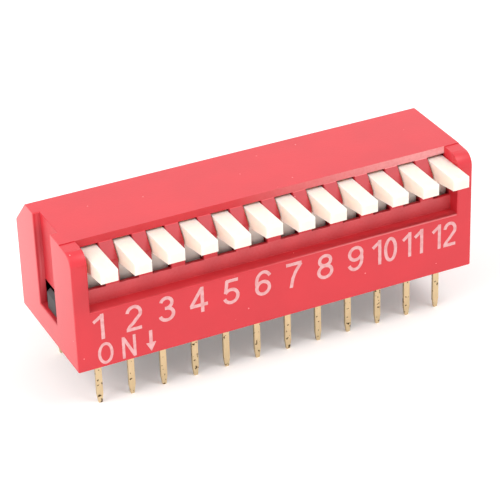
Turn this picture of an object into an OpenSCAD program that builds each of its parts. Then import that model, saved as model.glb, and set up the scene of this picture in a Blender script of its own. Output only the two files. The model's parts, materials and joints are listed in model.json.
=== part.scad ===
// Piano-style DIP switch: a row of side levers in a moulded housing on a 2.54 mm grid.
// Origin: centre of the pin grid on the seating plane. +X runs along the ways, -Y is the
// lever side and +Z points away from the board. All sizes are in millimetres.

/* [Layout] */
// Number of switch ways
ways = 12; // [2:1:12]
// Distance between neighbouring ways
pitch = 2.54; // [2.5:0.01:3.2]
// Distance between the two rows of pins
row_spacing = 7.62; // [6.4:0.01:7.8]
// Housing left beyond the outermost half pitch at each end
end_margin = 0.81; // [0.6:0.01:1.4]

/* [Housing] */
// Depth of the housing from lever side to back
body_depth = 11; // [10.6:0.1:13.2]
// Height of the housing above the board
body_height = 9.5; // [9:0.1:11.4]
// Thickness of the top wall
top_wall = 0.6; // [0.5:0.05:0.75]
// Thickness of the front wall below the shelf
front_wall = 0.9; // [0.7:0.05:1]
// Thickness of the back wall
back_wall = 0.7; // [0.5:0.05:0.9]
// Size of the bevel along the back of the top
back_bevel = 2.2; // [1.2:0.1:2.4]
// Radius of the cheeks' upper front corner
cheek_round = 1; // [0.5:0.1:1.5]
// Distance from the front face to the slotted wall
recess_depth = 1.1; // [0.9:0.05:1.4]
// Thickness of the slotted wall
slot_wall = 0.4; // [0.35:0.01:0.45]
// Height of the shelf in front of the slotted wall
shelf_height = 4.7; // [4.4:0.05:5.2]
// Thickness of the shelf
shelf_wall = 0.8; // [0.5:0.05:0.9]
// Height of the sill of the lever slots
sill_height = 5.85; // [5.4:0.05:6.1]
// Height at which the ribs between the slots start to slope back
knee_height = 7.75; // [6.8:0.05:7.9]
// Distance from the front face to the front edge of the top
lip_depth = 2.05; // [1.8:0.05:2.4]
// Height by which the cheeks' tops in front of that edge are lower than the top
cheek_step = 0.05; // [0.03:0.01:0.15]

/* [End latches] */
// Width of the groove down the left end face
groove_w = 3.35; // [2.6:0.05:4]
// Depth of the groove
groove_depth = 0.58; // [0.3:0.02:0.7]
// Height at which the groove and the latches start
groove_floor = 2; // [1.6:0.05:2.4]
// Height of the latch window and of the pocket at the other end
window_h = 1.85; // [1.5:0.05:2.1]
// Width of the latch tooth and of the hook at the other end
tooth_w = 1.6; // [1:0.05:2.2]
// Distance of the tooth behind the end face
tooth_inset = 0.3; // [0.2:0.02:0.45]
// How far the hook at the plain end reaches into its pocket
hook_reach = 0.4; // [0.25:0.05:0.55]

/* [Levers] */
// Width of a lever
lever_w = 1.32; // [1.1:0.02:1.4]
// Gap between a lever and each side of its slot
side_play = 0.07; // [0.06:0.01:0.12]
// Distance of the slots and levers from the middle of their pins, towards +X
slot_offset = 0.12; // [0:0.01:0.14]
// How far the levers stand out in front of the housing
lever_reach = 1.83; // [1.4:0.05:2.6]
// Height of a lever's front face
nose_h = 0.9; // [0.7:0.02:1.1]
// Slope of a lever's underside in degrees
underside_slope = 9; // [5:0.5:12]
// Radius of a lever's hub
hub_r = 1.75; // [1.45:0.05:2.1]
// Distance of the hub behind the front of the slotted wall
hub_setback = 0.45; // [0.3:0.05:0.6]
// Angle that a lever turns through from up to down
travel = 30; // [20:1:32]
// Length of the skirt below a hub's middle
skirt_l = 1.9; // [1.6:0.05:2]
// Radius of a lever's axle stubs
axle_r = 0.5; // [0.35:0.01:0.6]
// Length of the axle stubs beyond the hub
axle_reach = 0.32; // [0.28:0.01:0.36]

/* [Contacts] */
// Width of the pins below the housing
pin_w = 0.5; // [0.4:0.01:0.6]
// Thickness of the terminal strip
strip_t = 0.25; // [0.2:0.01:0.3]
// Length of the pins below the housing
pin_length = 4; // [2.8:0.1:4.8]
// Width of the terminals inside the base
blade_w = 0.9; // [0.7:0.02:1]
// Height of the lowest point of the contact pads
pad_height = 2.85; // [2.7:0.05:3.1]
// Width of a wiper
wiper_w = 0.7; // [0.5:0.02:0.8]
// Radius of a wiper's bow
bow_r = 0.8; // [0.65:0.05:0.9]
// Thickness of a wiper's spring strip
wiper_t = 0.14; // [0.1:0.01:0.18]

/* [Hidden] */
$fn = 64;
body_length = ways * pitch + 2 * end_margin;
half_length = body_length / 2;
half_depth = body_depth / 2;
front = -half_depth;

// Clearances
snap_gap = 0.05;      // between base and housing
seat_gap = 0.02;      // between a terminal and its seat in the base
axle_gap = 0.04;      // radial, between an axle stub and its socket
lip_gap = 0.2;        // between a lever's top and the underside of the lip
hub_gap = 0.09;       // between a hub and the slotted wall
wipe_gap = 0.03;      // between a wiper's feet and the pads
bow_gap = 0.01;       // between a wiper's bow and its seat in the finger
socket_extra = 0.13;  // between an axle stub's end and the bottom of its socket
pocket_play = 0.15;   // between a pad and each side of its pocket
tooth_play = 0.1;     // between the top of a latch tooth and the top of its window
cut = 1;              // how far cutting shapes pass the faces that they open

// Lever slots and pivots
slot_w = lever_w + 2 * side_play;
recess_half = (ways - 1) / 2 * pitch + slot_offset + slot_w / 2;
cheek_wall = half_length - recess_half;
slot_plane = front + recess_depth;
ceiling = body_height - top_wall;
cheek_top = body_height - cheek_step;
pivot_y = slot_plane + hub_setback + hub_r;
pivot_z = ceiling - lip_gap - hub_r;
lever_top = pivot_z + hub_r;
socket_r = axle_r + axle_gap;
socket_depth = axle_reach + socket_extra - side_play;
nose_round = 0.2;
chin_round = 0.28;
corner_round = 0.18;
underside_root = 0.3;
skirt_draft = 0.12;
skirt_t = 0.9;

// The ways whose levers rest a little higher than the others, and by how many degrees nose-up
raised_ways = [3, 4, 6];
raised_tilt = 2;

// Contact geometry, as angles about the pivot measured from straight down towards the back
sweep_r = pivot_z - pad_height;
finger_angle = -2;
pad_past_foot = 5;
pad_spacing = 6;
foot_r = 0.1;
bend_reach = 0.33;
bow_centre_r = sqrt(pow(sweep_r - wipe_gap - foot_r, 2) - pow(bow_r - foot_r / 2, 2));
foot_spread = atan((bow_r - foot_r / 2) / bow_centre_r);
pin_y = row_spacing / 2;
front_leg = -pin_y + strip_t / 2;
rear_leg = pin_y - strip_t / 2;
front_pad_start = asin((front_leg + bend_reach - pivot_y) / sweep_r);
front_pad_end = finger_angle + travel - foot_spread + pad_past_foot;
rear_pad_start = front_pad_end + pad_spacing;
rear_pad_end = finger_angle + travel + foot_spread + pad_past_foot;
front_link_top = pivot_z - sweep_r * cos(front_pad_start);
rear_arm_top = pivot_z - sweep_r * cos(rear_pad_end);
arm_start = pivot_y + sweep_r * sin(rear_pad_end);
finger_side = 0.05;
finger_w = wiper_w + 2 * finger_side;
finger_depth = 1.2;

// Base
base_half = recess_half - snap_gap;
base_front = front + front_wall + snap_gap;
base_back = half_depth - back_wall - snap_gap;
chamber_top = shelf_height - shelf_wall;
chamber_rear_y = slot_plane + slot_wall;
base_front_top = chamber_top - 2 * snap_gap;
arm_cover = 0.12;
base_top = rear_arm_top + arm_cover;
partition_bottom = base_top + snap_gap;
pocket_w = blade_w + 2 * pocket_play;
shoulder_z = 0.8;
well_depth = 0.2;
well_w = 1.1;
well_l = 0.8;
tip_h = 0.75;
tip_w = 0.28;
bevel_wall = 0.65;
window_side = 0.05;
tooth_root = 0.2;
tooth_lead = 0.35;

way_list = [1 : ways];

function way_x(i) = (i - (ways + 1) / 2) * pitch;
function slot_x(i) = way_x(i) + slot_offset;

// Extrudes a profile drawn as (Y, Z) by a length along X, centred on X = 0
module along_x(length) {
    rotate([90, 0, 90])
        linear_extrude(length, center = true)
            children();
}

// Extrudes a profile drawn as (X, Z) by a thickness along Y, centred on Y = 0
module along_y(thickness) {
    rotate([90, 0, 0])
        linear_extrude(thickness, center = true)
            children();
}

// What a rounding of radius r takes off a right-angled corner that points to +X and +Y. It is
// drawn about the rounding's centre.
module corner_cut(r) {
    difference() {
        square(r + cut);
        circle(r);
    }
}

// ---- Housing ----

module housing_profile() {
    difference() {
        polygon([
            [front, 0],
            [half_depth, 0],
            [half_depth, body_height - back_bevel],
            [half_depth - back_bevel, body_height],
            [front + lip_depth, body_height],
            [front + lip_depth, cheek_top],
            [front, cheek_top],
        ]);
        translate([front + cheek_round, cheek_top - cheek_round])
            mirror([1, 0])
                corner_cut(cheek_round);
    }
}

// What is taken away between the cheeks, in front of the shelf, the slotted wall and the lip
module recess_profile() {
    polygon([
        [front - cut, shelf_height],
        [slot_plane, shelf_height],
        [slot_plane, knee_height],
        [front + lip_depth, ceiling],
        [front + lip_depth, body_height + cut],
        [front - cut, body_height + cut],
    ]);
}

// The space that the base fills, open below
module chamber_profile() {
    polygon([
        [front + front_wall, -cut],
        [half_depth - back_wall, -cut],
        [half_depth - back_wall, partition_bottom],
        [chamber_rear_y, partition_bottom],
        [chamber_rear_y, chamber_top],
        [front + front_wall, chamber_top],
    ]);
}

// The cell of one way above the base, open at its lever slot
module cell_profile() {
    inner_bevel = back_bevel + sqrt(2) * bevel_wall - top_wall - back_wall;
    polygon([
        [slot_plane - cut, sill_height],
        [chamber_rear_y, sill_height],
        [chamber_rear_y, partition_bottom - cut],
        [half_depth - back_wall, partition_bottom - cut],
        [half_depth - back_wall, ceiling - inner_bevel],
        [half_depth - back_wall - inner_bevel, ceiling],
        [slot_plane - cut, ceiling],
    ]);
    translate([pivot_y, pivot_z])
        circle(hub_r + hub_gap);
}

// Blind sockets for the axle stubs, and the grooves that the stubs snap in through
module axle_socket() {
    translate([0, pivot_y, pivot_z])
        rotate([0, 90, 0])
            cylinder(r = socket_r, h = slot_w + 2 * socket_depth, center = true);
    groove_h = pivot_z - partition_bottom + cut;
    translate([0, pivot_y, pivot_z - groove_h / 2])
        cube([slot_w + socket_depth / 2, 2 * socket_r, groove_h], center = true);
}

// The groove down the left end face, with the latch window at its foot
module end_groove() {
    translate([-half_length - cut, -groove_w / 2, groove_floor])
        cube([groove_depth + cut, groove_w, body_height]);
    translate([-half_length, -groove_w / 2 + window_side, groove_floor])
        cube([cheek_wall + cut, groove_w - 2 * window_side, window_h]);
}

// The blind pocket for the hook, inside the right end
module hook_pocket() {
    pocket_l = hook_reach + snap_gap;
    translate([recess_half - cut, -tooth_w / 2 - snap_gap, groove_floor])
        cube([pocket_l + cut, tooth_w + 2 * snap_gap, window_h]);
}

module housing() {
    color("crimson")
        difference() {
            along_x(body_length)
                housing_profile();
            along_x(2 * recess_half)
                recess_profile();
            along_x(2 * recess_half)
                chamber_profile();
            for (i = way_list)
                translate([slot_x(i), 0, 0]) {
                    along_x(slot_w)
                        cell_profile();
                    axle_socket();
                }
            end_groove();
            hook_pocket();
        }
}

// ---- Base ----

module base_profile() {
    polygon([
        [base_front, 0],
        [base_back, 0],
        [base_back, base_top],
        [chamber_rear_y + snap_gap, base_top],
        [chamber_rear_y + snap_gap, base_front_top],
        [base_front, base_front_top],
    ]);
}

// The seat of one way's terminals: flat at each row and curved under the pads
module seat_profile() {
    front_seat = front_link_top - strip_t - seat_gap;
    rear_seat = rear_arm_top - strip_t - seat_gap;
    intersection() {
        translate([pivot_y, pivot_z])
            circle(sweep_r + strip_t + seat_gap);
        translate([base_front, 0])
            square([base_back - base_front, body_height]);
    }
    translate([base_front - cut, front_seat])
        square([pivot_y - base_front + cut, body_height]);
    translate([arm_start, rear_seat])
        square([body_depth, body_height]);
}

// A terminal's slot, narrow below its shoulder
module terminal_slot(y) {
    slot_t = strip_t + 2 * seat_gap;
    translate([0, y, 0]) {
        translate([0, 0, body_height / 2 - cut])
            cube([pin_w + 2 * seat_gap, slot_t, body_height], center = true);
        translate([-blade_w / 2 - seat_gap, -slot_t / 2, shoulder_z])
            cube([blade_w + 2 * seat_gap, slot_t, body_height]);
        cube([well_w, well_l, 2 * well_depth], center = true);
    }
}

// A latch tooth that ends at a given distance from the middle, chamfered at the top
module latch_tooth(tooth_end) {
    tooth_top = groove_floor + window_h - tooth_play;
    along_y(tooth_w)
        polygon([
            [base_half - tooth_root, groove_floor + snap_gap],
            [tooth_end, groove_floor + snap_gap],
            [tooth_end, tooth_top - tooth_lead],
            [tooth_end - tooth_lead, tooth_top],
            [base_half - tooth_root, tooth_top],
        ]);
}

module base() {
    color("dimgray") {
        difference() {
            along_x(2 * base_half)
                base_profile();
            for (i = way_list)
                translate([way_x(i), 0, 0]) {
                    along_x(pocket_w)
                        seat_profile();
                    terminal_slot(-pin_y);
                    terminal_slot(pin_y);
                }
        }
        latch_tooth(recess_half + hook_reach);
        mirror([1, 0, 0])
            latch_tooth(half_length - tooth_inset);
    }
}

// ---- Levers ----

// Side view of a lever, drawn about its pivot
module lever_profile() {
    nose = front - lever_reach - pivot_y;
    top = lever_top - pivot_z;
    slope = tan(underside_slope);
    chin_z = top - nose_h + chin_round * (1 / cos(underside_slope) - slope);
    chin_y = nose + chin_round;
    root = -hub_r + underside_root;
    circle(hub_r);
    polygon([
        [0, top],
        [nose + nose_round, top],
        [nose, top - nose_round],
        [nose, chin_z],
        [chin_y - chin_round * sin(underside_slope), chin_z - chin_round * cos(underside_slope)],
        [root, top - nose_h - slope * (root - nose)],
        [0, 0],
    ]);
    polygon([
        [-hub_r, 0],
        [skirt_draft - hub_r, -skirt_l],
        [skirt_draft - hub_r + skirt_t, -skirt_l],
        [0, 0],
    ]);
    translate([nose + nose_round, top - nose_round])
        circle(nose_round);
    translate([chin_y, chin_z])
        circle(chin_round);
}

// Plan view of a lever: a strip with its two front corners rounded
module lever_plan() {
    nose = front - lever_reach - pivot_y;
    length = hub_r - nose;
    difference() {
        translate([-lever_w / 2, nose])
            square([lever_w, length]);
        for (side = [-1, 1])
            scale([side, 1])
                translate([lever_w / 2 - corner_round, nose + corner_round])
                    mirror([0, 1])
                        corner_cut(corner_round);
    }
}

// The finger that carries the wiper, hollowed to seat the wiper's bow
module finger_profile() {
    rotate(finger_angle)
        difference() {
            translate([-finger_depth / 2, -bow_centre_r + bow_r / 2])
                square([finger_depth, bow_centre_r - bow_r / 2]);
            translate([0, -bow_centre_r])
                circle(bow_r + bow_gap);
        }
}

module placed_lever(i) {
    raised = len([for (way = raised_ways) if (way == i) way]) > 0;
    translate([slot_x(i), pivot_y, pivot_z])
        rotate([raised ? -raised_tilt : 0, 0, 0])
            children();
}

module lever(i) {
    color("white")
        placed_lever(i) {
            intersection() {
                along_x(lever_w)
                    lever_profile();
                translate([0, 0, -body_height])
                    linear_extrude(2 * body_height)
                        lever_plan();
            }
            along_x(finger_w)
                finger_profile();
            rotate([0, 90, 0])
                cylinder(r = axle_r, h = lever_w + 2 * axle_reach, center = true);
        }
}

// A half-round bow of spring strip with a rounded foot at each end
module wiper_profile() {
    rotate(finger_angle)
        translate([0, -bow_centre_r]) {
            difference() {
                circle(bow_r);
                circle(bow_r - wiper_t);
                translate([-2 * bow_r, -4 * bow_r])
                    square(4 * bow_r);
            }
            for (side = [-1, 1])
                translate([side * (bow_r - foot_r / 2), 0])
                    circle(foot_r);
        }
}

module wiper(i) {
    color("gold")
        placed_lever(i)
            along_x(wiper_w)
                wiper_profile();
}

// ---- Terminals ----

// Front view of a terminal's leg: a tapered pin below a wider shoulder
module leg_outline(top_z) {
    polygon([
        [-tip_w / 2, -pin_length],
        [tip_w / 2, -pin_length],
        [pin_w / 2, tip_h - pin_length],
        [pin_w / 2, shoulder_z + seat_gap],
        [blade_w / 2, shoulder_z + seat_gap],
        [blade_w / 2, top_z],
        [-blade_w / 2, top_z],
        [-blade_w / 2, shoulder_z + seat_gap],
        [-pin_w / 2, shoulder_z + seat_gap],
        [-pin_w / 2, tip_h - pin_length],
    ]);
}

// A stretch of strip bent to the sweep of the wiper's feet
module pad_arc(start, end) {
    far = 4 * sweep_r;
    translate([pivot_y, pivot_z])
        intersection() {
            difference() {
                circle(sweep_r + strip_t);
                circle(sweep_r);
            }
            polygon([
                [0, 0],
                [far * sin(start), -far * cos(start)],
                [far * sin(end), -far * cos(end)],
            ]);
        }
}

module front_terminal(i) {
    link_end = pivot_y + sweep_r * sin(front_pad_start);
    color("goldenrod")
        translate([way_x(i), 0, 0]) {
            translate([0, -pin_y, 0])
                along_y(strip_t)
                    leg_outline(front_link_top - strip_t);
            along_x(blade_w) {
                translate([front_leg, front_link_top - strip_t]) {
                    intersection() {
                        circle(strip_t);
                        translate([-strip_t, 0])
                            square(strip_t);
                    }
                    square([link_end - front_leg, strip_t]);
                }
                pad_arc(front_pad_start, front_pad_end);
            }
        }
}

module rear_terminal(i) {
    color("goldenrod")
        translate([way_x(i), 0, 0]) {
            translate([0, pin_y, 0])
                along_y(strip_t)
                    leg_outline(rear_arm_top - strip_t);
            along_x(blade_w) {
                translate([rear_leg, rear_arm_top - strip_t]) {
                    intersection() {
                        circle(strip_t);
                        square(strip_t);
                    }
                    mirror([1, 0])
                        square([rear_leg - arm_start, strip_t]);
                }
                pad_arc(rear_pad_start, rear_pad_end);
            }
        }
}

housing();
base();
for (i = way_list) {
    lever(i);
    wiper(i);
    front_terminal(i);
    rear_terminal(i);
}
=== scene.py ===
"""Finishes of a piano-style DIP switch: moulded plastics, plated pins and printed numbers."""
import json
from math import cos, pi, radians, sin

import bmesh
import bpy
from bpy.props import FloatProperty, FloatVectorProperty, PointerProperty
from mathutils import Matrix, Vector, noise
from mathutils.geometry import delaunay_2d_cdt


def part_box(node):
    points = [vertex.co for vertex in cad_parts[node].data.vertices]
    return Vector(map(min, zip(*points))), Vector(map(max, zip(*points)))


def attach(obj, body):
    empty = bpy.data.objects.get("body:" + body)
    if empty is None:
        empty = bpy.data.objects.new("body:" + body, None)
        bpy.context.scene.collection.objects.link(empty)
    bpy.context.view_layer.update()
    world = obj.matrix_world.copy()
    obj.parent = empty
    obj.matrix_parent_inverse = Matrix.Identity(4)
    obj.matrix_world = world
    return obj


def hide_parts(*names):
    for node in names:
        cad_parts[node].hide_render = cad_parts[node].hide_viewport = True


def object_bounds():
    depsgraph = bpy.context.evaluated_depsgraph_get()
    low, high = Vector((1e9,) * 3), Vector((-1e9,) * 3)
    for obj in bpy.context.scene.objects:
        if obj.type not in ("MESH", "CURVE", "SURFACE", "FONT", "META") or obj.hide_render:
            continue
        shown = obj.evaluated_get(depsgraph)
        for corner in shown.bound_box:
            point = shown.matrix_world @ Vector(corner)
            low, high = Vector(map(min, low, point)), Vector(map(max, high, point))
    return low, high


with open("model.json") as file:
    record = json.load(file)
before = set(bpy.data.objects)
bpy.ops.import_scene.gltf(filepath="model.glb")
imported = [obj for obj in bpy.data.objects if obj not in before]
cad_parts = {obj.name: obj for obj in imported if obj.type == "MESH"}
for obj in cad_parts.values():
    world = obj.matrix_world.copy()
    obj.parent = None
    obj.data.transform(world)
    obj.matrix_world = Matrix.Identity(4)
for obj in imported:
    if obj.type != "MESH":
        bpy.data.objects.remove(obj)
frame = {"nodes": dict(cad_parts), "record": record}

bl_info = {
    "name": "DIP switch finishes",
    "version": (1, 0, 0),
    "blender": (4, 5, 0),
    "location": "View3D > Sidebar > DIP switch",
    "description": "Gives a DIP switch its moulded, plated and printed surfaces",
    "category": "Object",
}

MM = 0.001
CAD_BOX = [list(corner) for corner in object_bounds()]
LOW = Vector(CAD_BOX[0])
BODIES = frame["record"]["behaviour"]["bodies"]
BODY_OF = {node: body for body, nodes in BODIES.items() for node in nodes}
WAYS = sum(node.startswith("lever_") for node in BODY_OF)
HOUSING_LOW, HOUSING_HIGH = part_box("housing")
FIRST_PIN = (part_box("front_terminal_1")[0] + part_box("front_terminal_1")[1]) / 2
SECOND_PIN = (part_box("front_terminal_2")[0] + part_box("front_terminal_2")[1]) / 2
PITCH = SECOND_PIN.x - FIRST_PIN.x


def linear(hex_colour):
    """Turns an sRGB hex colour into the linear RGBA that the sockets take."""
    channels = [int(hex_colour[i:i + 2], 16) / 255 for i in (1, 3, 5)]
    return tuple(c / 12.92 if c <= 0.04045 else ((c + 0.055) / 1.055) ** 2.4 for c in channels) + (1.0,)


# ---- Settings ----

class HousingSettings(bpy.types.PropertyGroup):
    colour: FloatVectorProperty(
        name="Colour", description="Colour of the moulded housing", subtype="COLOR", size=4,
        default=linear("#D12733"), min=0, max=1)
    edge: FloatProperty(
        name="Edge", description="Width of the outer edges' rounding", unit="LENGTH",
        default=0.15 * MM, min=0)
    rib_edge: FloatProperty(
        name="Rib edge", description="Width of the rounding in the lever recess", unit="LENGTH",
        default=0.05 * MM, min=0)
    grain: FloatProperty(
        name="Grain", description="Spacing of the mould's spark-eroded grain", unit="LENGTH",
        default=0.11 * MM, min=0.02 * MM)


class LeverSettings(bpy.types.PropertyGroup):
    colour: FloatVectorProperty(
        name="Colour", description="Colour of the levers", subtype="COLOR", size=4,
        default=linear("#F2EADC"), min=0, max=1)
    edge: FloatProperty(
        name="Edge", description="Width of the softened edges", unit="LENGTH", default=0.06 * MM, min=0)


class TerminalSettings(bpy.types.PropertyGroup):
    colour: FloatVectorProperty(
        name="Colour", description="Colour of the plating", subtype="COLOR", size=4,
        default=linear("#DAC49C"), min=0, max=1)
    edge: FloatProperty(
        name="Edge", description="Width of the stamped edges' roll", unit="LENGTH", default=0.03 * MM, min=0)


class LegendSettings(bpy.types.PropertyGroup):
    colour: FloatVectorProperty(
        name="Colour", description="Colour of the printing ink", subtype="COLOR", size=4,
        default=linear("#DFAAAB"), min=0, max=1)
    height: FloatProperty(
        name="Height", description="Height of the digits", unit="LENGTH", default=2.08 * MM, min=0.5 * MM)
    stroke: FloatProperty(
        name="Stroke", description="Width of the printed strokes", unit="LENGTH",
        default=0.26 * MM, min=0.05 * MM)
    thickness: FloatProperty(
        name="Ink", description="Thickness of the ink", unit="LENGTH", default=0.012 * MM, min=0.002 * MM)


class StageSettings(bpy.types.PropertyGroup):
    floor: FloatVectorProperty(
        name="Floor", description="Colour of the floor", subtype="COLOR", size=4,
        default=linear("#FBFAF8"), min=0, max=1)
    glow: FloatProperty(
        name="Table light", description="Strength of the light table below the object", default=0.15, min=0)
    key: FloatProperty(
        name="Key light", description="Power of the lamp at the front right", unit="POWER",
        default=0.45, min=0)
    fill: FloatProperty(
        name="Fill light", description="Strength of the light from all round", default=0.7, min=0)
    side: FloatProperty(
        name="Side light", description="Power of the soft lamp on the left", unit="POWER", default=0.5, min=0)
    backdrop: FloatProperty(
        name="Backdrop", description="Brightness of the white backdrop in reflections", default=1.6, min=0)


# ---- Nodes and materials ----

def add_node(tree, kind, links=(), **settings):
    """Adds a node, sets its properties or input values, and links (input, from_node, output)."""
    node = tree.nodes.new(kind)
    for key, value in settings.items():
        if hasattr(node, key):
            setattr(node, key, value)
    for key, value in settings.items():
        if not hasattr(node, key):
            node.inputs[key.replace("_", " ")].default_value = value
    for name, source, output in links:
        tree.links.new(source.outputs[output], node.inputs[name])
    return node


def new_material(name):
    material = bpy.data.materials.new(name)
    material.use_nodes = True
    material.node_tree.nodes.clear()
    return material, material.node_tree


def surface(tree, links=(), bump=None, **settings):
    """Adds the shader and the output that it feeds."""
    shader = add_node(tree, "ShaderNodeBsdfPrincipled", links, **settings)
    if bump:
        tree.links.new(bump.outputs["Normal"], shader.inputs["Normal"])
    add_node(tree, "ShaderNodeOutputMaterial", [("Surface", shader, "BSDF")])
    return shader


def blotches(tree, place, size, detail):
    """A noise texture whose blotches are about size millimetres across."""
    return add_node(
        tree, "ShaderNodeTexNoise", [("Vector", place, "Object")], Scale=1 / (size * MM), Detail=detail)


def tinted(tree, under, output, mask, mask_output, hex_colour):
    """Lays a colour over another where the mask is 1."""
    mix = add_node(
        tree, "ShaderNodeMix", [("Factor", mask, mask_output), (6, under, output)], data_type="RGBA")
    mix.inputs[7].default_value = linear(hex_colour)
    return mix


def red_pbt(look):
    """PBT polyester, injection moulded against spark-eroded steel: a satin red whose gloss breaks up in fine
    grain, with a slow ripple from the melt's flow and a little pale dust. Over it lie paler patches on the lip,
    painted light, a painted highlight and a painted reflection, and painted shade between the levers and in the
    end's groove."""
    material, tree = new_material("red_pbt_moulded")
    place = add_node(tree, "ShaderNodeTexCoord")
    flow = blotches(tree, place, 4.0, 3.0)
    shade = add_node(tree, "ShaderNodeValToRGB", [("Fac", flow, "Fac")])
    shade.color_ramp.elements[0].position = 0.35
    shade.color_ramp.elements[0].color = [0.93 * c for c in look.colour[:3]] + [1]
    shade.color_ramp.elements[1].position = 0.65
    shade.color_ramp.elements[1].color = look.colour
    speck_spacing, speck_radius = 1.3 * MM, 0.035
    specks = add_node(tree, "ShaderNodeTexVoronoi", [("Vector", place, "Object")], Scale=1 / speck_spacing)
    dust = add_node(tree, "ShaderNodeMath", [(0, specks, "Distance")], operation="LESS_THAN")
    dust.inputs[1].default_value = speck_radius
    coat = tinted(tree, shade, "Color", dust, "Value", "#FF9C9C")
    # Paler patches on the lip, and painted light: on the wall and shelf, a painted highlight on the shelf's
    # edge and a painted reflection on the left end
    lightened = tinted(tree, coat, 2, whitening(tree, place), 0, "#F0A4A6")
    # Painted shade on the ribs between the levers, in the end's groove and at the foot of each slot
    shaded_red = tinted(tree, lightened, 2, wear_dust(tree, place), 0, "#8E1620")
    grain = blotches(tree, place, look.grain / MM, 2.0)
    relief = add_node(
        tree, "ShaderNodeBump", [("Height", grain, "Fac")], Strength=0.35, Distance=0.02 * MM)
    ripple = add_node(
        tree, "ShaderNodeBump", [("Height", flow, "Fac"), ("Normal", relief, "Normal")],
        Strength=0.3, Distance=0.05 * MM)
    surface(tree, [("Base Color", shaded_red, 2)], ripple, Roughness=0.42, IOR=1.52)
    return material


def times(tree, first, second):
    return add_node(tree, "ShaderNodeMath", [(0, first, 0), (1, second, 0)], operation="MULTIPLY")


def strongest(tree, masks):
    """The largest of several masks at each point."""
    largest = masks[0]
    for mask in masks[1:]:
        largest = add_node(tree, "ShaderNodeMath", [(0, largest, 0), (1, mask, 0)], operation="MAXIMUM")
    return largest


def within(tree, axes, low, high):
    """1 inside the box between two corners, in millimetres, and 0 outside it."""
    inside = None
    for axis, start, end in zip("XYZ", low, high):
        side = add_node(tree, "ShaderNodeMath", [(0, axes, axis)], operation="COMPARE")
        side.inputs[1].default_value = (start + end) / 2 * MM
        side.inputs[2].default_value = (end - start) / 2 * MM
        inside = times(tree, inside, side) if inside else side
    return inside


def growing(tree, source, output, start, end, low=0.0, high=1.0):
    """Runs from low to high as the source goes from start to end."""
    span = add_node(tree, "ShaderNodeMapRange", [("Value", source, output)])
    for socket, value in (("From Min", start), ("From Max", end), ("To Min", low), ("To Max", high)):
        span.inputs[socket].default_value = value
    return span


# Places that the paler patches, the painted light and the painted shade follow, in millimetres: insets from the
# ends, depths behind the front face, heights above the seating plane and the lip's own height below the top
RECESS_INSET, LIP_INSET = 1.2, 1.26
WALL_FRONT, WALL_BACK = 1.05, 1.15
SHELF_BELOW, SHELF_ABOVE = 4.6, 4.75
SILL, LIP_HEIGHT = 5.9, 0.6


def whitening(tree, place):
    """How far the surface is made paler, from 0 to 1. The lip's front face is paler in patches, more and more
    towards the last way. The rest is painted light: a little, in patches, on the wall below the levers, more on
    the shelf towards its front edge, a painted highlight along the shelf's front edge and a painted reflection
    on the left end."""
    left, front, low = HOUSING_LOW / MM
    right, back, top = HOUSING_HIGH / MM
    recess_left, recess_right, lip_right = left + RECESS_INSET, right - RECESS_INSET, right - LIP_INSET
    pale_start, edge_full = -3, 6
    lip_front, lip_back, lip_low = front + 2, front + 2.1, top - LIP_HEIGHT - 0.02
    end_skin, edge_depth, shelf_start, shelf_end = 0.04, 0.13, 0.1, 1.1
    axes = add_node(tree, "ShaderNodeSeparateXYZ", [("Vector", place, "Object")])
    # Patches for the lip's paler face and for the painted light on the wall
    pale_patches = blotches(tree, place, 0.2, 4.0)
    lip = times(
        tree, growing(tree, axes, "X", pale_start * MM, (right - 1.3) * MM),
        growing(tree, pale_patches, "Fac", 0.3, 0.6, 0.8))
    lip = times(tree, lip, within(tree, axes, (left, lip_front, lip_low), (lip_right, lip_back, top)))
    # Painted light, in patches, on the wall below the levers
    wall = times(
        tree, growing(tree, pale_patches, "Fac", 0.3, 0.6, 0.11, 0.15),
        within(
            tree, axes, (recess_left, front + WALL_FRONT, SHELF_BELOW),
            (recess_right, front + WALL_BACK, SILL)))
    # Painted reflection on the left end face, stronger towards the back
    end = times(
        tree, growing(tree, axes, "Y", front * MM, back * MM, 0.1, 0.3),
        within(tree, axes, (left - 1, front, low), (left + end_skin, back, top)))
    # Painted highlight along the shelf's front edge, growing towards the last way
    edge = times(
        tree, growing(tree, axes, "X", pale_start * MM, edge_full * MM, 0.0, 0.3),
        within(
            tree, axes, (pale_start, front - 0.05, SHELF_BELOW),
            (lip_right, front + edge_depth, SHELF_ABOVE)))
    # Painted light on the shelf, growing towards its front edge
    shelf = times(
        tree, growing(tree, axes, "Y", (front + 1) * MM, front * MM, 0.02, 0.09),
        within(
            tree, axes, (recess_left, front + shelf_start, SHELF_BELOW),
            (recess_right, front + shelf_end, SHELF_ABOVE)))
    return strongest(tree, [lip, wall, end, edge, shelf])


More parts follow.
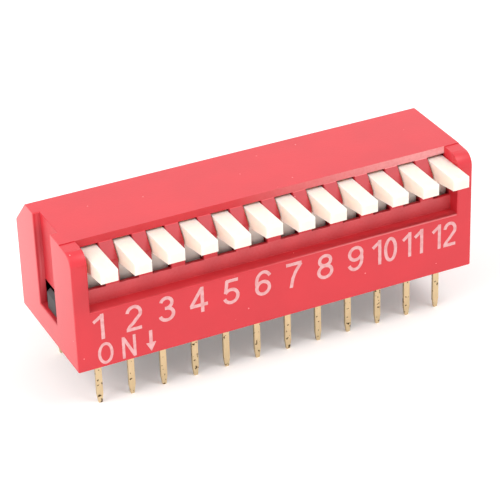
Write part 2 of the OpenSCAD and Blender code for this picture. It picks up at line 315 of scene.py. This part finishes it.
def wear_dust(tree, place):
    """How far painted shade darkens the housing, from 0 to 1: the ribs between the levers, darker higher up,
    the end's groove, and most of all the foot of each slot."""
    left, front, _ = HOUSING_LOW / MM
    right, _, top = HOUSING_HIGH / MM
    rib_back, rib_full = front + 2.02, 7.2
    groove_foot, groove_full, groove_top = 2, 7.9, 8.9
    groove_front, groove_back, groove_floor = front + 3.5, front + 7.2, left + 0.62
    slot_front, slot_back, slot_shade_top, slot_full = front + 1.32, front + 2.5, 6.6, 6.1
    axes = add_node(tree, "ShaderNodeSeparateXYZ", [("Vector", place, "Object")])
    # Painted shade on the ribs between the levers, darker higher up
    ribs = times(
        tree, growing(tree, axes, "Z", 6 * MM, rib_full * MM, 0.0, 0.5),
        within(
            tree, axes, (left + LIP_INSET, front + WALL_FRONT, SILL),
            (right - LIP_INSET, rib_back, top - LIP_HEIGHT)))
    # Painted shade in the end's groove
    groove = times(
        tree, growing(tree, axes, "Y", 0.1 * MM, 1.6 * MM, 0.0, 0.45),
        within(
            tree, axes, (left + 0.03, groove_front, groove_foot), (groove_floor, groove_back, groove_top)))
    groove = times(tree, groove, growing(tree, axes, "Z", groove_top * MM, groove_full * MM))
    # Painted shade at the foot of each slot, darkest at the bottom
    foot = times(
        tree, growing(tree, axes, "Z", slot_shade_top * MM, slot_full * MM, 0.0, 0.95),
        within(
            tree, axes, (left + RECESS_INSET, slot_front, SILL - 0.15),
            (right - RECESS_INSET, slot_back, slot_shade_top)))
    return strongest(tree, [ribs, groove, foot])


def black_pbt():
    """PBT filled with glass fibre and carbon black, moulded: near black, matt, with a faint mottle."""
    material, tree = new_material("black_glass_filled_pbt")
    place = add_node(tree, "ShaderNodeTexCoord")
    fibre = blotches(tree, place, 0.25, 4.0)
    shade = add_node(tree, "ShaderNodeValToRGB", [("Fac", fibre, "Fac")])
    shade.color_ramp.elements[0].color = linear("#181516")
    shade.color_ramp.elements[1].color = linear("#302C2E")
    relief = add_node(
        tree, "ShaderNodeBump", [("Height", fibre, "Fac")], Strength=0.4, Distance=0.02 * MM)
    surface(tree, [("Base Color", shade, "Color")], relief, Roughness=0.55, IOR=1.54)
    return material


def natural_acetal(look):
    """Acetal in its natural white, moulded against polished steel: waxy, a little translucent, smooth. Below
    the slab's underside the lever is painted grey, darker further down: painted shade under the slab."""
    material, tree = new_material("natural_acetal_moulded")
    place = add_node(tree, "ShaderNodeTexCoord")
    cloud = blotches(tree, place, 1.5, 2.0)
    shade = add_node(tree, "ShaderNodeValToRGB", [("Fac", cloud, "Fac")])
    shade.color_ramp.elements[0].color = [0.95 * c for c in look.colour[:3]] + [1]
    shade.color_ramp.elements[1].color = look.colour
    underside_slope, lever_shade_top, lever_shade_depth = 0.158, 6.62 * MM, 1.35 * MM
    axes = add_node(tree, "ShaderNodeSeparateXYZ", [("Vector", place, "Object")])
    level = add_node(tree, "ShaderNodeMath", [(0, axes, "Y"), (2, axes, "Z")], operation="MULTIPLY_ADD")
    level.inputs[1].default_value = underside_slope
    below = add_node(tree, "ShaderNodeMath", [(0, level, "Value")], operation="LESS_THAN")
    below.inputs[1].default_value = lever_shade_top
    lever_shade = times(tree, below, growing(tree, level, "Value", lever_shade_top, lever_shade_top - lever_shade_depth, 0.28, 0.78))
    # Painted shade: below the slab's underside the lever is greyed, darker further down
    shaded_white = tinted(tree, shade, "Color", lever_shade, "Value", "#8E8280")
    relief = add_node(tree, "ShaderNodeBump", [("Height", cloud, "Fac")], Strength=0.15, Distance=0.02 * MM)
    surface(
        tree, [("Base Color", shaded_white, 2)], relief, Roughness=0.38, IOR=1.48,
        Subsurface_Weight=0.6, Subsurface_Radius=(1.0 * MM, 0.9 * MM, 0.7 * MM), Subsurface_Scale=1.0)
    return material


def gold_flash(look):
    """Brass strip, stamped and barrel plated with thin gold: pale and satin, with dark pits scattered where
    the plating is thin."""
    material, tree = new_material("gold_flash_on_brass")
    place = add_node(tree, "ShaderNodeTexCoord")
    tone = blotches(tree, place, 0.6, 3.0)
    shade = add_node(tree, "ShaderNodeValToRGB", [("Fac", tone, "Fac")])
    shade.color_ramp.elements[0].color = [0.82 * c for c in look.colour[:3]] + [1]
    shade.color_ramp.elements[1].color = look.colour
    pit_threshold = 0.68
    pits = blotches(tree, place, 0.24, 1.0)
    pit = add_node(tree, "ShaderNodeMath", [(0, pits, "Fac")], operation="GREATER_THAN")
    pit.inputs[1].default_value = pit_threshold
    mix = tinted(tree, shade, "Color", pit, "Value", "#4A3A24")
    relief = add_node(
        tree, "ShaderNodeBump", [("Height", pits, "Fac")], Strength=0.3, Distance=0.01 * MM, invert=True)
    surface(tree, [("Base Color", mix, 2)], relief, Metallic=1.0, Roughness=0.42)
    return material


def spring_copper():
    """Beryllium copper strip, rolled and gold plated: smooth and warm."""
    material, tree = new_material("gold_plated_spring_strip")
    place = add_node(tree, "ShaderNodeTexCoord")
    rolling = blotches(tree, place, 0.1, 1.0)
    relief = add_node(tree, "ShaderNodeBump", [("Height", rolling, "Fac")], Strength=0.2, Distance=0.005 * MM)
    surface(tree, [], relief, Base_Color=linear("#E9C26A"), Metallic=1.0, Roughness=0.28)
    return material


def pad_ink(look):
    """Two-part pad-printing ink: a thin pale layer through which a little of the red shows in patches."""
    material, tree = new_material("pad_printed_ink")
    place = add_node(tree, "ShaderNodeTexCoord")
    cover = blotches(tree, place, 0.3, 3.0)
    shade = add_node(tree, "ShaderNodeValToRGB", [("Fac", cover, "Fac")])
    shade.color_ramp.elements[0].position = 0.3
    shade.color_ramp.elements[0].color = linear("#D69192")
    shade.color_ramp.elements[1].position = 0.6
    shade.color_ramp.elements[1].color = look.colour
    surface(tree, [("Base Color", shade, "Color")], None, Roughness=0.5, IOR=1.5)
    return material


# ---- Pieces ----

def softened_copy(node, name, width, share, segments=2):
    """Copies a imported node's mesh, merges its flat faces and rounds its convex edges. share(a, b) is the part
    of width that the edge from a to b gets. The copy takes the node's place."""
    weld = 0.002 * MM
    flat, hollow, corner, sharp = radians(1), -radians(20), radians(28), radians(50)
    mesh = bpy.data.meshes.new(name)
    shape = bmesh.new()
    shape.from_mesh(frame["nodes"][node].data)
    bmesh.ops.remove_doubles(shape, verts=shape.verts, dist=weld)
    bmesh.ops.dissolve_limit(shape, angle_limit=flat, verts=shape.verts, edges=shape.edges)
    weight = shape.edges.layers.float.new("bevel_weight_edge")
    for edge in shape.edges:
        turn = edge.calc_face_angle_signed() if edge.is_manifold else 0
        if turn > corner:
            edge[weight] = share(*(v.co for v in edge.verts))
        edge.smooth = hollow < turn < sharp or edge[weight] > 0
    for face in shape.faces:
        face.smooth = True
    shape.to_mesh(mesh)
    shape.free()
    piece = bpy.data.objects.new(name, mesh)
    bpy.context.scene.collection.objects.link(piece)
    rounding = piece.modifiers.new("rounding", "BEVEL")
    rounding.limit_method = "WEIGHT"
    rounding.width = width
    rounding.segments = segments
    rounding.use_clamp_overlap = False
    rounding.miter_outer = "MITER_ARC"
    shading = piece.modifiers.new("face_normals", "WEIGHTED_NORMAL")
    shading.keep_sharp = True
    settle(piece)
    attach(piece, BODY_OF[node])
    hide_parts(node)
    return piece


def settle(piece):
    """Turns a piece's modifiers into mesh."""
    bpy.context.view_layer.update()
    shown = piece.evaluated_get(bpy.context.evaluated_depsgraph_get())
    finished = bpy.data.meshes.new_from_object(shown)
    piece.modifiers.clear()
    old, piece.data = piece.data, finished
    bpy.data.meshes.remove(old)


def dress(piece, material):
    piece.data.materials.clear()
    piece.data.materials.append(material)
    piece.data.polygons.foreach_set("material_index", [0] * len(piece.data.polygons))


# ---- Printed characters, drawn as stroke centrelines on a cell one unit high ----

def bow(centre, across, up, start, end, steps=16):
    """Points on an ellipse's arc, in degrees."""
    turns = [radians(start + (end - start) * k / steps) for k in range(steps + 1)]
    return [(centre[0] + across * cos(a), centre[1] + up * sin(a)) for a in turns]


def six():
    ring = bow((0.0, 0.31), 0.245, 0.2475, 90, 450, 28)
    tail = bow((0.03, 0.56), 0.275, 0.3775, 205, 30, 18)
    return [ring, tail]


def turned(strokes):
    return [[(-x, 1 - y) for x, y in stroke] for stroke in strokes]


CHARACTERS = {
    "0": [bow((0, 0.5), 0.235, 0.4375, 0, 360, 36)],
    "1": [[(0.06, 1.0), (0.06, 0.0)], [(0.06, 0.935), (-0.265, 0.72)]],
    "2": [bow((0.0, 0.69), 0.245, 0.2475, 172, -28, 18) + [(-0.02, 0.32), (-0.17, 0.19), (-0.26, 0.0625)],
          [(-0.30, 0.0625), (0.27, 0.0625)]],
    "3": [bow((-0.01, 0.735), 0.21, 0.2025, 165, -90, 18) + [(-0.07, 0.5325)],
          [(-0.07, 0.5325)] + bow((-0.01, 0.2975), 0.25, 0.235, 90, -168, 20)],
    "4": [[(0.115, 1.0), (0.115, 0.0)], [(-0.35, 0.2925), (0.32, 0.2925)], [(-0.32, 0.30), (0.09, 0.935)]],
    "5": [[(-0.18, 0.9375), (0.27, 0.9375)], [(-0.15, 0.97), (-0.22, 0.47)],
          bow((-0.01, 0.3225), 0.26, 0.26, 148, -165, 20)],
    "6": six(),
    "7": [[(-0.31, 0.9375), (0.29, 0.9375)], [(0.27, 0.92), (0.06, 0.62), (-0.06, 0.36), (-0.13, 0.0)]],
    "8": [bow((0, 0.74), 0.22, 0.1975, 0, 360, 26), bow((0, 0.2975), 0.26, 0.235, 0, 360, 28)],
    "9": turned(six()),
    "O": [bow((0, 0.5), 0.27, 0.4375, 0, 360, 36)],
    "N": [[(-0.24, 0.0), (-0.24, 1.0)], [(-0.24, 0.98), (0.24, 0.02)], [(0.24, 0.0), (0.24, 1.0)]],
}


def cut_fine(stroke, step):
    """Adds points along a stroke so that none lie further apart than step."""
    fine = [Vector(stroke[0])]
    for point in map(Vector, stroke[1:]):
        parts = max(1, round((point - fine[-1]).length / step))
        start = fine[-1]
        fine += [start.lerp(point, k / parts) for k in range(1, parts + 1)]
    return fine


def ribbon(stroke, width):
    """The quads of a flat ribbon that follows a stroke, mitred at each point."""
    step, sharpest_mitre = 0.06, 0.5
    closed = (Vector(stroke[0]) - Vector(stroke[-1])).length < 1e-6
    line = cut_fine(stroke, step)
    sides = []
    for k, point in enumerate(line):
        before = line[k - 1] if k else (line[-2] if closed else None)
        after = line[k + 1] if k + 1 < len(line) else (line[1] if closed else None)
        ways = [(b - a).normalized() for a, b in ((before, point), (point, after)) if a and b]
        along = sum(ways, Vector((0, 0))).normalized()
        across = Vector((-along.y, along.x)) * width / 2 / max(sharpest_mitre, along.dot(ways[0]))
        sides.append((point + across, point - across))
    return [(a[0], a[1], b[1], b[0]) for a, b in zip(sides, sides[1:])]


def printed(name, glyphs, face_y, thickness, jitter):
    """Builds printed characters as one thin plate on the front face. glyphs lists quads in metres."""
    waviness, weld = 0.22 * MM, 1e-7
    points, faces = [], []
    for quad in glyphs:
        faces.append(list(range(len(points), len(points) + len(quad))))
        points += [Vector(p) for p in quad]
    flat, _, tiles, _, _, origins = delaunay_2d_cdt(points, [], faces, 0, weld)
    shape = bmesh.new()
    corners = []
    for x, z in flat:
        shift = noise.noise_vector(Vector((x, z, 0)) / waviness) * jitter
        corners.append(shape.verts.new((x + shift.x, face_y - thickness, z + shift.y)))
    for tile, origin in zip(tiles, origins):
        if origin:
            shape.faces.new([corners[k] for k in tile])
    bmesh.ops.delete(shape, geom=[v for v in shape.verts if not v.link_faces], context="VERTS")
    bmesh.ops.recalc_face_normals(shape, faces=shape.faces)
    if shape.faces and sum(f.normal.y * f.calc_area() for f in shape.faces) > 0:
        bmesh.ops.reverse_faces(shape, faces=shape.faces)
    rim = bmesh.ops.extrude_edge_only(shape, edges=[e for e in shape.edges if e.is_boundary])
    for vertex in (g for g in rim["geom"] if isinstance(g, bmesh.types.BMVert)):
        vertex.co.y = face_y
    mesh = bpy.data.meshes.new(name)
    shape.to_mesh(mesh)
    shape.free()
    piece = bpy.data.objects.new(name, mesh)
    bpy.context.scene.collection.objects.link(piece)
    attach(piece, "case")
    return piece


def lettering(text, x, z, height, stroke, narrow=1.0, gap=0.49):
    """The quads of a row of characters centred on x, standing on z. narrow scales their widths."""
    quads = []
    for k, character in enumerate(text):
        centre = x + (k - (len(text) - 1) / 2) * gap * height
        for line in CHARACTERS[character]:
            line = [(across * narrow, up) for across, up in line]
            quads += [
                [(centre + p.x * height, z + p.y * height) for p in quad]
                for quad in ribbon(line, stroke / height)]
    return quads


# ---- Operators ----

class DIP_OT_housing(bpy.types.Operator):
    """Gives the housing its rounded edges and its moulded red surface"""
    bl_idname = "dip_switch.housing"
    bl_label = "Housing"

    def execute(self, context):
        look = context.scene.dip_housing
        outer, crisp, small = 0.75, 0.25, look.rib_edge / look.edge
        left, front, _ = HOUSING_LOW
        right, back, top = HOUSING_HIGH
        cheek_inner, cheek_outer = right - 1.3 * MM, right - 1.1 * MM
        recess_back = front + 2.15 * MM
        groove = left + 0.7 * MM
        shelf_low, lip_low = 3 * MM, 8 * MM
        tiny, short, hair, top_band = 0.06 * MM, 0.2 * MM, 0.01 * MM, 0.08 * MM
        aligned = 0.9

        def share(a, b):
            """Widest on the shelf's front edge, narrow on the ribs and the lip's lower edge. None inside, at
            the top's front or on the short edges of the cheeks' inner arcs, where roundings would cross."""
            middle, along = (a + b) / 2, (b - a).normalized()
            low, high, side = min(a.z, b.z), max(a.z, b.z), abs(middle.x)
            lengthwise = abs(along.x) > aligned
            if (b - a).length < (short if cheek_inner < side < cheek_outer else tiny):
                return 0
            if low > top - tiny and abs(along.y) > aligned and side > cheek_inner:
                return crisp
            if middle.y < recess_back:
                if lengthwise and middle.z > top - top_band:
                    return 0
                if lengthwise and middle.y < front + hair and middle.z > shelf_low:
                    return 1
                if lengthwise and middle.z > lip_low and side < cheek_inner:
                    return small
                return outer if lengthwise or side > cheek_inner else small
            at_top_or_foot = high < hair or low > top - hair
            at_back_or_end = middle.y > back - hair or side > right - hair
            return outer if at_top_or_foot or middle.x < groove or at_back_or_end else 0

        piece = softened_copy("housing", "housing_moulding", look.edge, share)
        dress(piece, red_pbt(look))
        return {"FINISHED"}


class DIP_OT_base(bpy.types.Operator):
    """Gives the base its moulded black surface"""
    bl_idname = "dip_switch.base"
    bl_label = "Base"

    def execute(self, context):
        low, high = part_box("base")
        edge, hair, tooth_reach = 0.04 * MM, 0.01 * MM, 0.6 * MM
        piece = softened_copy(
            "base", "base_moulding", edge,
            lambda a, b: max(a.z, b.z) < low.z + hair or abs((a + b).x) / 2 > high.x - tooth_reach)
        dress(piece, black_pbt())
        return {"FINISHED"}


class DIP_OT_levers(bpy.types.Operator):
    """Gives each lever its softened edges and its waxy white surface"""
    bl_idname = "dip_switch.levers"
    bl_label = "Levers"

    def execute(self, context):
        look = context.scene.dip_lever
        material = natural_acetal(look)
        for way in range(1, WAYS + 1):
            piece = softened_copy(
                f"lever_{way}", f"lever_moulding_{way}", look.edge, lambda a, b: (b - a).length > look.edge)
            dress(piece, material)
        return {"FINISHED"}


class DIP_OT_contacts(bpy.types.Operator):
    """Plates the terminals and the wipers"""
    bl_idname = "dip_switch.contacts"
    bl_label = "Contacts"

    def execute(self, context):
        look = context.scene.dip_terminal
        plated, spring = gold_flash(look), spring_copper()
        shown_top = 0.9 * MM
        for way in range(1, WAYS + 1):
            for row in ("front", "rear"):
                pin = softened_copy(
                    f"{row}_terminal_{way}", f"{row}_pin_{way}", look.edge,
                    lambda a, b: max(a.z, b.z) < shown_top)
                dress(pin, plated)
            dress(frame["nodes"][f"wiper_{way}"], spring)
        return {"FINISHED"}


class DIP_OT_legend(bpy.types.Operator):
    """Prints the ways' numbers and the ON arrow on the front"""
    bl_idname = "dip_switch.legend"
    bl_label = "Legend"

    def execute(self, context):
        look = context.scene.dip_legend
        material = pad_ink(look)
        register, two_digit_shift, droop = -0.16 * MM, -0.12 * MM, 0.2 * MM
        digits_z, on_z = 2.34 * MM, 0.24 * MM
        jitter = 0.012 * MM
        for way in range(1, WAYS + 1):
            shift, narrow = (two_digit_shift, 0.86) if way > 9 else (0, 1)
            x = FIRST_PIN.x + (way - 1) * PITCH + register + shift
            z = digits_z - droop * ((way - 1) / (WAYS - 1)) ** 2
            quads = lettering(str(way), x, z, look.height, look.stroke, narrow)
            dress(printed(f"number_{way}", quads, HOUSING_LOW.y, look.thickness, jitter), material)
        on_height, on_stroke = 1.78 * MM, 0.22 * MM
        for name, text, x in (("legend_o", "O", -13.9 * MM), ("legend_n", "N", -12.1 * MM)):
            quads = lettering(text, x, on_z, on_height, on_stroke)
            dress(printed(name, quads, HOUSING_LOW.y, look.thickness, jitter), material)
        arrow_x, arrow_h, head_w, head_h, stem = -10.4 * MM, 1.75 * MM, 0.78 * MM, 0.73 * MM, 0.13 * MM
        stem_z = on_z + 0.6 * MM
        quads = [
            [(arrow_x - stem, stem_z), (arrow_x + stem, stem_z),
             (arrow_x + stem, on_z + arrow_h), (arrow_x - stem, on_z + arrow_h)],
            [(arrow_x, on_z), (arrow_x + head_w / 2, on_z + head_h), (arrow_x - head_w / 2, on_z + head_h)]]
        dress(printed("legend_arrow", quads, HOUSING_LOW.y, look.thickness, jitter), material)
        return {"FINISHED"}


class DIP_OT_stage(bpy.types.Operator):
    """Sets the pale floor, the soft light and the camera"""
    bl_idname = "dip_switch.stage"
    bl_label = "Stage"

    def execute(self, context):
        look = context.scene.dip_stage
        scene = context.scene
        scene.view_settings.view_transform = "Standard"
        lay_floor(look)
        light_world(scene, look)
        hang_lamp("key_softbox", place=Vector((0.13, -0.15, 0.28)), size=0.15, power=look.key)
        hang_lamp("side_softbox", place=Vector((-0.22, -0.05, 0.20)), size=0.20, power=look.side)
        place_camera(scene)
        return {"FINISHED"}


def lay_floor(look):
    mesh = bpy.data.meshes.new("floor")
    half = 1.5
    corners = [(-half, -half, 0), (half, -half, 0), (half, half, 0), (-half, half, 0)]
    mesh.from_pydata(corners, [], [(0, 1, 2, 3)])
    floor = bpy.data.objects.new("floor", mesh)
    floor.location.z = LOW.z
    bpy.context.scene.collection.objects.link(floor)
    material, tree = new_material("opal_acrylic_light_table")
    surface(
        tree, [], None, Base_Color=look.floor, Roughness=0.9, Specular_IOR_Level=0.2,
        Emission_Color=look.floor, Emission_Strength=look.glow)
    mesh.materials.append(material)


def light_world(scene, look):
    world = bpy.data.worlds.new("studio")
    world.use_nodes = True
    tree = world.node_tree
    tree.nodes.clear()
    rays = add_node(tree, "ShaderNodeLightPath")
    seen = add_node(
        tree, "ShaderNodeMath", [(0, rays, "Is Camera Ray"), (1, rays, "Is Glossy Ray")], operation="MAXIMUM")
    seen = add_node(
        tree, "ShaderNodeMath", [(0, seen, "Value"), (1, rays, "Is Transmission Ray")], operation="MAXIMUM")
    around = add_node(tree, "ShaderNodeBackground", Color=(1, 1, 1, 1), Strength=look.fill)
    white = add_node(tree, "ShaderNodeBackground", Color=(1, 1, 1, 1), Strength=look.backdrop)
    both = add_node(
        tree, "ShaderNodeMixShader",
        [(0, seen, "Value"), (1, around, "Background"), (2, white, "Background")])
    add_node(tree, "ShaderNodeOutputWorld", [("Surface", both, "Shader")])
    scene.world = world


def hang_lamp(name, place, size, power):
    lamp = bpy.data.lights.new(name, "AREA")
    lamp.shape = "SQUARE"
    lamp.size = size
    lamp.energy = power
    holder = bpy.data.objects.new(name, lamp)
    holder.location = place
    holder.rotation_euler = place.to_track_quat("Z", "Y").to_euler()
    bpy.context.scene.collection.objects.link(holder)


def place_camera(scene):
    """Looks down on the front and the left end through a long lens, which keeps the rows nearly parallel."""
    aim = Vector((0.13, -0.10, 2.94)) * MM
    distance, round_z, above, roll = 163.7 * MM, radians(24.88), radians(29.88), radians(-1.91)
    camera = bpy.data.cameras.new("camera")
    camera.lens = 157.7
    camera.sensor_width = 36
    camera.clip_start = 0.005
    holder = bpy.data.objects.new("camera", camera)
    turn = Matrix.Rotation(-round_z, 3, "Z") @ Matrix.Rotation(pi / 2 - above, 3, "X")
    holder.matrix_world = (
        Matrix.Translation(aim + turn @ Vector((0, 0, distance)))
        @ (turn @ Matrix.Rotation(roll, 3, "Z")).to_4x4())
    scene.collection.objects.link(holder)
    scene.camera = holder


class DIP_PT_panel(bpy.types.Panel):
    """Lists the switch's finishing steps"""
    bl_idname = "DIP_PT_panel"
    bl_label = "DIP switch"
    bl_space_type = "VIEW_3D"
    bl_region_type = "UI"
    bl_category = "DIP switch"

    def draw(self, context):
        for step in STEPS:
            self.layout.operator(step.bl_idname)
        for settings in SETTINGS:
            look = getattr(context.scene, settings)
            for prop in look.bl_rna.properties:
                if prop.identifier in look.__annotations__:
                    self.layout.prop(look, prop.identifier)


STEPS = (DIP_OT_housing, DIP_OT_base, DIP_OT_levers, DIP_OT_contacts, DIP_OT_legend, DIP_OT_stage)
SETTINGS = {
    "dip_housing": HousingSettings,
    "dip_lever": LeverSettings,
    "dip_terminal": TerminalSettings,
    "dip_legend": LegendSettings,
    "dip_stage": StageSettings,
}


def register():
    for cls in (*SETTINGS.values(), *STEPS, DIP_PT_panel):
        bpy.utils.register_class(cls)
    for name, cls in SETTINGS.items():
        setattr(bpy.types.Scene, name, PointerProperty(type=cls))


def unregister():
    for name in SETTINGS:
        delattr(bpy.types.Scene, name)
    for cls in reversed((*SETTINGS.values(), *STEPS, DIP_PT_panel)):
        bpy.utils.unregister_class(cls)


def main():
    register()
    bpy.ops.dip_switch.stage()
    bpy.ops.dip_switch.housing()
    bpy.ops.dip_switch.base()
    bpy.ops.dip_switch.levers()
    bpy.ops.dip_switch.contacts()
    bpy.ops.dip_switch.legend()


if __name__ == "__main__":
    main()
